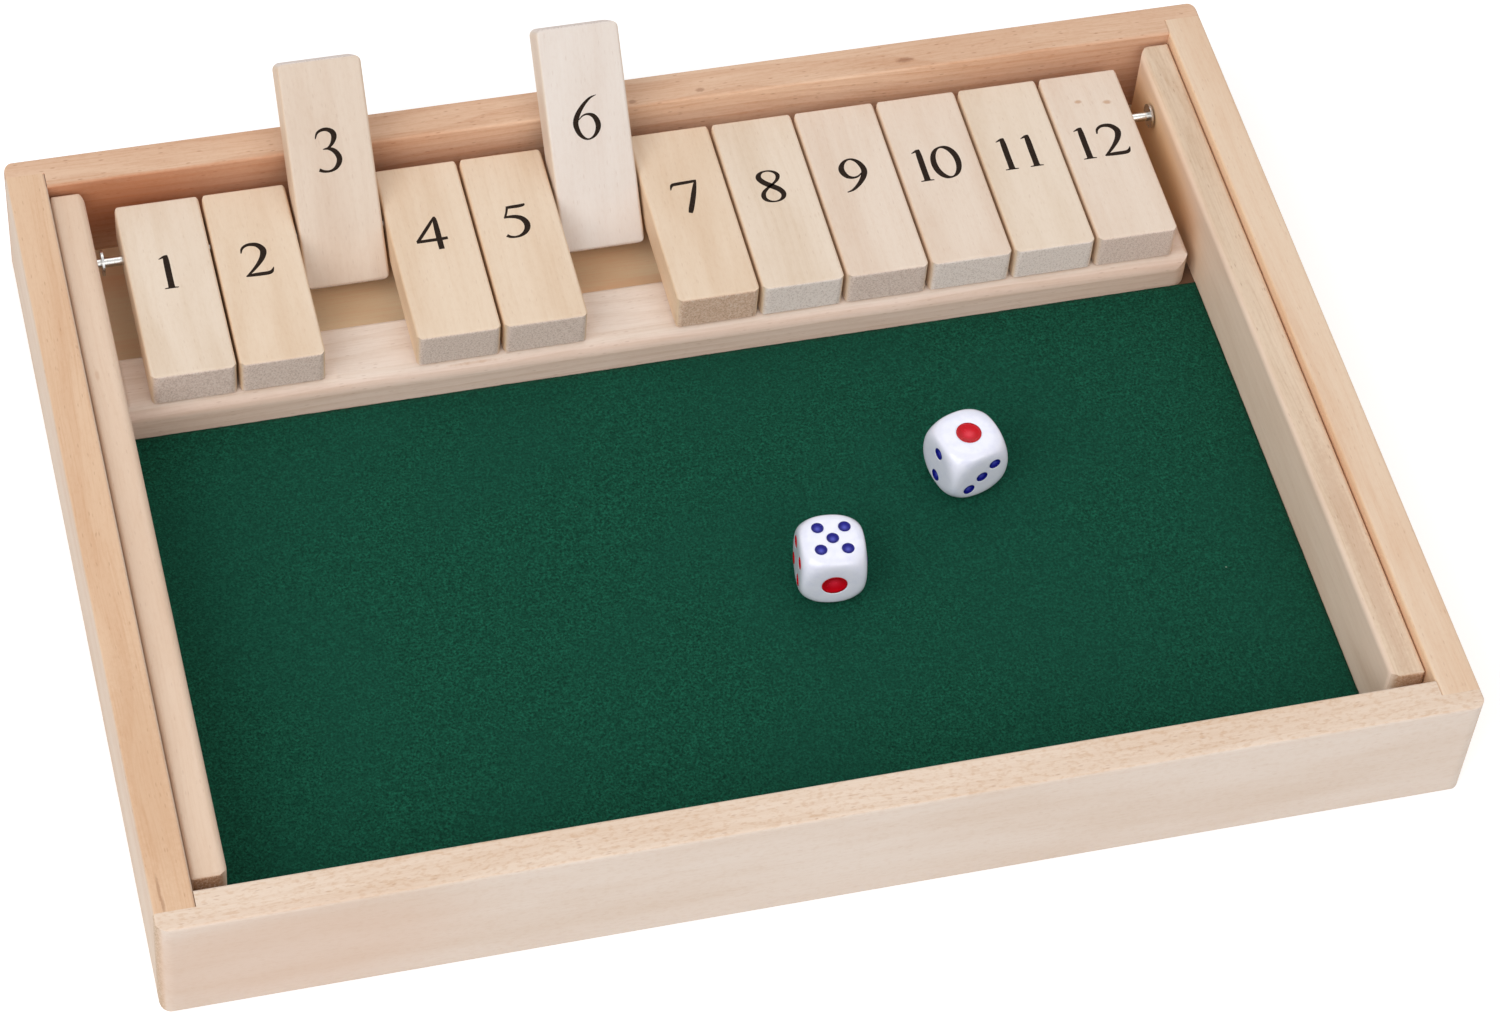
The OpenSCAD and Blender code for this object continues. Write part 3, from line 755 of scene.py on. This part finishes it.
SIX = [(635, 1025, 8), (470, 965, 30), (280, 800, 48), (130, 590, 64), (75, 395, 67),
       (130, 190, 56), (235, 65, 36), (355, 28, 22), (490, 95, 38), (585, 245, 62),
       (592, 395, 68), (515, 545, 54), (385, 605, 30), (260, 580, 20), (150, 490, 12)]
STROKES = {
    "0": (715, [oval()]),
    "1": (310, [
        [(165, 990, 50), (163, 800, 66), (160, 500, 68), (160, 200, 68), (160, 10, 72)],
        [(0, 905, 4), (70, 935, 20), (150, 968, 30), (210, 998, 4)],
        [(0, 12, 8), (80, 18, 16), (160, 35, 34), (240, 18, 16), (320, 12, 8)],
    ]),
    "2": (700, [
        [(35, 735, 12), (75, 865, 28), (170, 945, 36), (290, 965, 46), (430, 925, 60), (530, 800, 71), (540, 680, 72),
         (480, 520, 62), (370, 360, 48), (220, 190, 34), (60, 35, 22)],
        [(35, 30, 12), (120, 46, 36), (300, 50, 50), (520, 50, 50), (615, 75, 45), (665, 140, 24), (695, 210, 4)],
    ]),
    "3": (610, [
        [(45, 800, 14), (100, 925, 30), (210, 985, 38), (340, 985, 48), (455, 910, 64), (480, 800, 67),
         (420, 660, 46), (330, 575, 28), (240, 535, 14)],
        [(190, 542, 12), (320, 545, 36), (450, 475, 58), (535, 330, 68), (520, 200, 64), (430, 85, 46), (300, 30, 30),
         (160, 38, 34), (45, 85, 44)],
    ]),
    "4": (750, [
        [(545, 990, 12), (420, 800, 34), (240, 560, 38), (40, 300, 36)],
        [(15, 300, 40), (250, 300, 42), (550, 303, 42), (745, 312, 38)],
        [(552, 1000, 16), (552, 900, 46), (548, 600, 60), (545, 300, 62), (545, 0, 62)],
    ]),
    "5": (610, [
        [(165, 940, 34), (320, 943, 44), (480, 946, 44), (575, 965, 36), (605, 1000, 12)],
        [(190, 930, 26), (145, 790, 22), (80, 630, 24)],
        [(60, 635, 12), (170, 655, 34), (340, 630, 52), (470, 550, 64), (540, 410, 70), (530, 260, 64),
         (450, 130, 50), (330, 50, 34), (200, 28, 26), (90, 52, 34), (15, 105, 40)],
    ]),
    "6": (660, [SIX]),
    "7": (660, [
        [(5, 770, 6), (35, 865, 24), (85, 925, 42), (220, 940, 44), (420, 948, 42), (600, 962, 34), (655, 985, 12)],
        [(645, 985, 12), (600, 860, 36), (520, 620, 54), (430, 360, 58), (340, 120, 58), (300, 10, 44)],
    ]),
    "8": (620, [
        [(310, 978, 20), (190, 955, 30), (105, 875, 56), (90, 770, 68), (170, 640, 72), (320, 510, 74),
         (470, 385, 72), (545, 250, 64), (520, 130, 50), (430, 50, 30), (310, 22, 20), (190, 45, 30), (95, 120, 48),
         (68, 230, 56), (120, 355, 46), (250, 475, 32), (390, 575, 28), (500, 680, 40), (545, 800, 50),
         (510, 890, 42), (420, 955, 28), (310, 978, 20)],
    ]),
    "9": (660, [[(660 - x, 1000 - y, w) for x, y, w in SIX]]),
}
CLOSE_UP = {"10": 70, "11": 300, "12": 190}
print("numerals drawn:", *STROKES)


# %% From a stroke to a thin film of ink
INK_THICK, INK_STEP, INK_SUNK = 0.016, 0.0015, 0.06


def through(points, closed, steps=8):
    """A smooth curve: between two points it is the cubic whose slopes are half the way from each one's
    neighbour before to its neighbour after."""
    p = np.asarray(points, float)
    ends = (p[-2], p[1]) if closed else (2 * p[0] - p[1], 2 * p[-1] - p[-2])
    p = np.vstack([ends[0], p, ends[1]])
    a, b, c, d = (q[:, None] for q in (p[:-3], p[1:-2], p[2:-1], p[3:]))
    t = np.linspace(0, 1, steps, endpoint=False)[None, :, None]
    curve = 0.5 * (2 * b + (c - a) * t + (2 * a - 5 * b + 4 * c - d) * t**2 + (3 * b - a - 3 * c + d) * t**3)
    return np.vstack([curve.reshape(-1, 3), p[-2:-1]])


def stroke_film(points, height, spread, thickness):
    """A closed film along a stroke: at each step two edge points at its top and two below the wood's face.
    spread is how far the ink ran beyond the stroke, in thousandths of the numeral's height."""
    closed = bool(np.allclose(points[0], points[-1]))
    line = through(points, closed) / 1000
    middle_line, half = line[:, :2], line[:, 2:] + spread / 1000
    slope = np.gradient(middle_line, axis=0)
    if closed:
        slope[0] = slope[-1] = middle_line[1] - middle_line[-2]
    side = np.stack([-slope[:, 1], slope[:, 0]], -1) / np.linalg.norm(slope, axis=1)[:, None]
    left, right = (middle_line + side * half) * height, (middle_line - side * half) * height
    if closed:
        left, right = left[:-1], right[:-1]
    level = lambda edge, z: np.column_stack([edge, np.full(len(edge), z)])
    ring = np.stack(
        [level(left, thickness), level(left, -INK_SUNK), level(right, -INK_SUNK), level(right, thickness)], 1
    )
    faces = grid_faces(len(left), 4, close_rows=closed, close_columns=True)
    if not closed:
        last = 4 * len(left) - 4
        faces = np.vstack([faces, [[3, 2, 1, 0]], [[last, last + 1, last + 2, last + 3]]])
    return ring.reshape(-1, 3), faces


def number_film(text, height, spread):
    """All strokes of a number, centred on the origin, written along x with its foot towards -y. Each stroke
    is a hair thicker than the last, so that no two tops lie in one plane where strokes cross."""
    parts, pen, gap = [], 0, CLOSE_UP.get(text, 0) / 1000
    for figure_name in text:
        width, strokes = STROKES[figure_name]
        for points in strokes:
            film, faces = stroke_film(points, height, spread, INK_THICK + INK_STEP * len(parts))
            parts.append((film + [pen * height, -height / 2, 0], faces))
        pen += width / 1000 + gap
    return [(film - [(pen - gap) * height / 2, 0, 0], faces) for film, faces in parts]


print("the film of an 8 has", sum(len(f) for _, f in number_film("8", 10.9, 0)), "faces")

# %% [markdown]
# ## Numbers on both faces
# A lowered tile shows its number to the player, and so does a raised one, so each tile is stamped twice:
# on its top with the head of the number towards the rod, and on its underside with the head towards the
# free end. The film is made flat and then carried on to the tile by the tile's own axes.

# %% Stamp the tiles
NUMBER_HEIGHT, NUMBER_PLACE = 10.9, 0.425 * TILE_LENGTH
OFF_CENTRE = {
    1: (-0.8, 0.4), 2: (-0.7, 0.4), 3: (-0.6, 1.3), 4: (-0.6, 0.7), 5: (-0.7, 0.9), 6: (-0.6, 0.4),
    7: (-0.3, 0.8), 8: (-0.4, 0.5), 9: (-0.3, 0.6), 10: (-0.1, 0.3), 11: (-0.5, 0.1), 12: (0, 0),
}
INK_SPREAD = {n: 4 for n in TILES} | {2: 2, 3: -3, 6: -3, 8: 2}
TOP_FACE, UNDER_FACE = Matrix.Identity(3), Matrix.Diagonal((1, -1, -1))
stamps = (
    (TOP_FACE, TILE_TAIL - NUMBER_PLACE, TILE_THICK / 2),
    (UNDER_FACE, TILE_TAIL - TILE_LENGTH + NUMBER_PLACE, -TILE_THICK / 2),
)
for n in TILES:
    axes, bore = tile_axes(n), bore_of(n)
    parts = []
    for face, along_tile, up in stamps:
        turn = np.array(axes @ face)
        origin = np.array(bore + axes @ (Vector((0, along_tile, up)) + face @ Vector((*OFF_CENTRE[n], 0))))
        films = number_film(str(n), NUMBER_HEIGHT, INK_SPREAD[n])
        parts += [(film @ turn.T + origin, faces) for film, faces in films]
    number = mesh_piece(f"tile_{n}_number", parts, ink)
    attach(number, f"tile_{n}_body")
print("stamped", len(TILES), "tiles on both faces")

# %% [markdown]
# ## Paint in the pips
# A pip is a shallow round hollow with a drop of paint in it. The paint is a bowl of its own: it follows
# the sphere that the hollow was cut with, a few hundredths of a millimetre proud of it, and its underside
# lies inside the plastic. One bowl is a profile turned round the pip's axis, and arrays carry copies of
# it to every pip of a die.

# %% The shape of a drop of paint
def sphere_radius(width, depth):
    """The radius of the sphere that cuts a hollow of this width and depth."""
    return (width**2 / 4 + depth**2) / (2 * depth)


def paint_drop(width, depth, film=0.05, filled=0.94, rings=7, sides=28):
    """A bowl on the sphere through the hollow's rim and foot: height is the sphere's radius less depth, less
    the root of radius squared minus distance squared. Film is added above and taken off below."""
    radius = sphere_radius(width, depth)
    out = np.linspace(0, width / 2 * filled, rings + 1)[1:]
    hollow = radius - depth - np.sqrt(radius**2 - out**2)
    profile_r = np.concatenate([out, out[::-1]])
    profile_z = np.concatenate([hollow + film, (hollow - film)[::-1]])
    a = np.linspace(0, 2 * np.pi, sides, endpoint=False)
    across, up = profile_r[:, None] * np.cos(a), profile_r[:, None] * np.sin(a)
    bowl = np.stack([across, up, np.repeat(profile_z[:, None], sides, 1)], -1)
    faces = grid_faces(2 * rings, sides, close_columns=True)[:, ::-1]
    points = np.vstack([bowl.reshape(-1, 3), [[0, 0, film - depth], [0, 0, -film - depth]]])
    # deep runs from 0 at the rim to 1 at the pip's middle; the paint's painted highlight follows it.
    deep = 1 - np.hypot(points[:, 0], points[:, 1]) / (width / 2)
    ring, hub, last = np.arange(sides), 2 * rings * sides, (2 * rings - 1) * sides
    top_fan = np.stack([ring, np.roll(ring, -1), np.full(sides, hub)], -1)
    low_fan = np.stack([last + np.roll(ring, -1), last + ring, np.full(sides, hub + 1)], -1)
    return points, faces.tolist() + top_fan.tolist() + low_fan.tolist(), deep


DIE_EDGE, PIP_STEP = 16.5, 3.3
SMALL_PIP, BIG_PIP = (3.25, 0.6), (6.7, 1.0)
FACE_TURNS = [(0, 0, 0), (90, 0, -90), (90, 0, 0), (90, 0, 180), (90, 0, 90), (180, 0, 0)]
PIP_PLACES = [
    [(0, 0)], [(0, -1.25), (0, 1.25)], [(-1, -1), (0, 0), (1, 1)], [(-1, -1), (-1, 1), (1, -1), (1, 1)],
    [(-1, -1), (-1, 1), (0, 0), (1, -1), (1, 1)], [(-1, -1.2), (-1, 0), (-1, 1.2), (1, -1.2), (1, 0), (1, 1.2)],
]
RED_FACES = (1, 4)
print("pips on a die:", sum(len(p) for p in PIP_PLACES))


# %% A die with soft edges
DIE_CELLS, DIE_POWER, DIE_BALL, PIP_LIP = 96, 16, 1.35, 0.1


def face_height(across, up):
    """How far the die's face lies from its middle above the points (across, up), in half edges. At every point
    of the surface the cube distance and the ball distance, each raised to a high power, add up to one."""
    height = np.ones(np.shape(across))
    for _ in range(12):
        inside = np.abs(across) ** DIE_POWER + np.abs(up) ** DIE_POWER
        ball = ((across**2 + up**2 + height**2) / DIE_BALL**2) ** (DIE_POWER / 2)
        height = np.maximum(1 - inside - ball, 1e-9) ** (1 / DIE_POWER)
    return height


def rim_height(px, py):
    """How high the face lies at the pip in place (px, py), in millimetres."""
    half = DIE_EDGE / 2
    return half * float(face_height(px * PIP_STEP / half, py * PIP_STEP / half))


def die_face(places, width, depth):
    """One of six faces as a grid of points, its own normal along z: a cube's face drawn in on to the blend
    of cube and ball, then lowered into each pip's hollow with a soft lip."""
    t = np.linspace(-1, 1, DIE_CELLS + 1)
    u, v = np.meshgrid(t, t)
    ray = np.stack([u, v, np.ones_like(u)], -1)
    cube = (np.abs(ray) ** DIE_POWER).sum(-1)
    ball = ((ray**2).sum(-1) / DIE_BALL**2) ** (DIE_POWER / 2)
    points = ray / ((cube + ball) ** (1 / DIE_POWER))[..., None] * DIE_EDGE / 2
    radius = sphere_radius(width, depth)
    for px, py in places:
        away = np.hypot(points[..., 0] - px * PIP_STEP, points[..., 1] - py * PIP_STEP)
        hollow = rim_height(px, py) - depth + radius - np.sqrt(np.maximum(radius**2 - away**2, 0))
        gap = points[..., 2] - hollow
        lowered = (points[..., 2] + hollow - np.sqrt(gap**2 + PIP_LIP**2)) / 2
        points[..., 2] = np.where(away < width, lowered, points[..., 2])
    return points.reshape(-1, 3)


def welded(parts):
    """One part from several whose edges meet: points that fall on one another become one."""
    points, faces = joined(parts)
    _, first, number = np.unique(np.round(points, 3), axis=0, return_index=True, return_inverse=True)
    return points[first], number.reshape(-1)[np.array(faces)]


print("a die's face lies", round(rim_height(0, 0), 2), "mm from its middle")


# %% Shape and paint both dice
def spin(x, y, z):
    """Turns about x, then y, then z, in degrees, as one matrix."""
    return Euler([math.radians(v) for v in (x, y, z)]).to_matrix()


DICE_TURNS = {"die_1": spin(0, 0, -6.6) @ spin(90, 0, 0) @ spin(0, 0, 90), "die_2": spin(0, 0, 14.6)}
for die, die_turn in DICE_TURNS.items():
    drops, shell = {"red": [], "blue": []}, []
    for value, (face_turn, places) in enumerate(zip(FACE_TURNS, PIP_PLACES), 1):
        turn = np.array(die_turn @ spin(*face_turn))
        pip, centre = BIG_PIP if value == 1 else SMALL_PIP, np.array(middle_of(die))
        shell.append((die_face(places, *pip) @ turn.T + centre, grid_faces(DIE_CELLS + 1, DIE_CELLS + 1)))
        drop, faces, deep = paint_drop(*pip)
        for px, py in places:
            at = drop + [px * PIP_STEP, py * PIP_STEP, rim_height(px, py)]
            drops["red" if value in RED_FACES else "blue"].append((at @ turn.T + centre, faces, deep))
    for paint, parts in drops.items():
        painted = mesh_piece(f"{die}_{paint}_paint", [part[:2] for part in parts], pip_paints[paint])
        depths = np.concatenate([part[2] for part in parts])
        painted.data.attributes.new("deep", "FLOAT", "POINT").data.foreach_set("value", depths)
        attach(smooth(painted), f"{die}_body")
    soft_die = smooth(mesh_piece(f"{die}_shell", [welded(shell)], die_white))
    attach(soft_die, f"{die}_body")
    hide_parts(die)
print("shaped and painted", len(DICE_TURNS), "dice,", len(soft_die.data.polygons), "faces each")

# %% [markdown]
# ## White ground, soft light
# The game is shown on pure white with only a faint shadow. More light on the object would bleach the
# wood, so the ground gets its white from a glow that only the camera and mirror-like surfaces see, laid
# over a plain pale floor that still takes the shadow. The light is one big soft panel from the left
# front, a weaker one from the right front, a faint one from behind that puts the highlights into the pips,
# and an even white world.

# %% Floor and world
def background_rays(tree):
    """1 for rays from the camera and for reflected or refracted views of the ground, else 0."""
    path = put(tree, "LightPath").outputs
    seen = plus(tree, path["Is Camera Ray"], path["Is Glossy Ray"], path["Is Transmission Ray"])
    return calc(tree, "MINIMUM", seen, 1.0)


FLOOR_HALF, FLOOR_DROP, FLOOR_GLOW = 3000.0, 0.05, 0.45
floor_white, tree, shader = new_material("floor_white")
feed(tree, shader, {
    "Base Color": (0.8, 0.8, 0.8, 1), "Roughness": 1.0, "Specular IOR Level": 0.0,
    "Emission Color": WHITE, "Emission Strength": times(tree, background_rays(tree), FLOOR_GLOW),
})
corners = FLOOR_HALF * np.array([[-1, -1, 0], [1, -1, 0], [1, 1, 0], [-1, 1, 0]]) - [0, 0, FLOOR_DROP]
floor = mesh_piece("floor", [(corners, [[0, 1, 2, 3]])], floor_white)

WORLD_LIGHT = 0.5
world = bpy.data.worlds.new("white_room")
bpy.context.scene.world = world
world.use_nodes = True
tree = world.node_tree
brightness = plus(tree, times(tree, background_rays(tree), 1 - WORLD_LIGHT), WORLD_LIGHT)
feed(tree, tree.nodes["Background"], {"Color": WHITE, "Strength": brightness})
print("floor and world are in place")


# %% Lamps
def soft_panel(name, place, size, level):
    """A square lamp aimed at the tray. level is the share of full white that it gives a surface facing it:
    its power is that share times pi squared times its distance squared."""
    lamp = bpy.data.lights.new(name, "AREA")
    lamp.shape, lamp.size = "SQUARE", size
    lamp.energy = level * math.pi**2 * Vector(place).length_squared
    panel = bpy.data.objects.new(name, lamp)
    panel.location = place
    panel.rotation_euler = (-Vector(place)).to_track_quat("-Z", "Y").to_euler()
    bpy.context.scene.collection.objects.link(panel)
    print(name, round(lamp.energy, 1), "W")


soft_panel("left_panel", (-1.25, -0.9, 1.35), 1.6, 0.52)
soft_panel("front_panel", (0.55, -1.35, 1.1), 1.2, 0.18)
soft_panel("back_panel", (0.4, 1.0, 1.7), 1.0, 0.11)

# %% [markdown]
# ## The camera
# The viewpoint was solved from the tray's straight edges: a long lens from the front left, tipped well
# down and rolled a few degrees, so that the tray runs up to the right.

# %% Camera and colour
LENS, SENSOR = 109.99, 36.0
EYE, TURNED = (-0.21850, -0.66626, 0.89653), (37.75935, -3.87492, -14.00957)
camera_data = bpy.data.cameras.new("player_view")
camera_data.lens, camera_data.sensor_width = LENS, SENSOR
camera_data.clip_start, camera_data.clip_end = 0.05, 20.0
camera = bpy.data.objects.new("player_view", camera_data)
camera.location = EYE
camera.rotation_euler = [math.radians(v) for v in TURNED]
bpy.context.scene.collection.objects.link(camera)
bpy.context.scene.camera = camera
bpy.context.scene.view_settings.view_transform = "Standard"
print("camera at", [round(v, 3) for v in camera.location], "m")

# %% [markdown]
# ## Last step
# The scene is brought up to date once more.

bpy.context.view_layer.update()
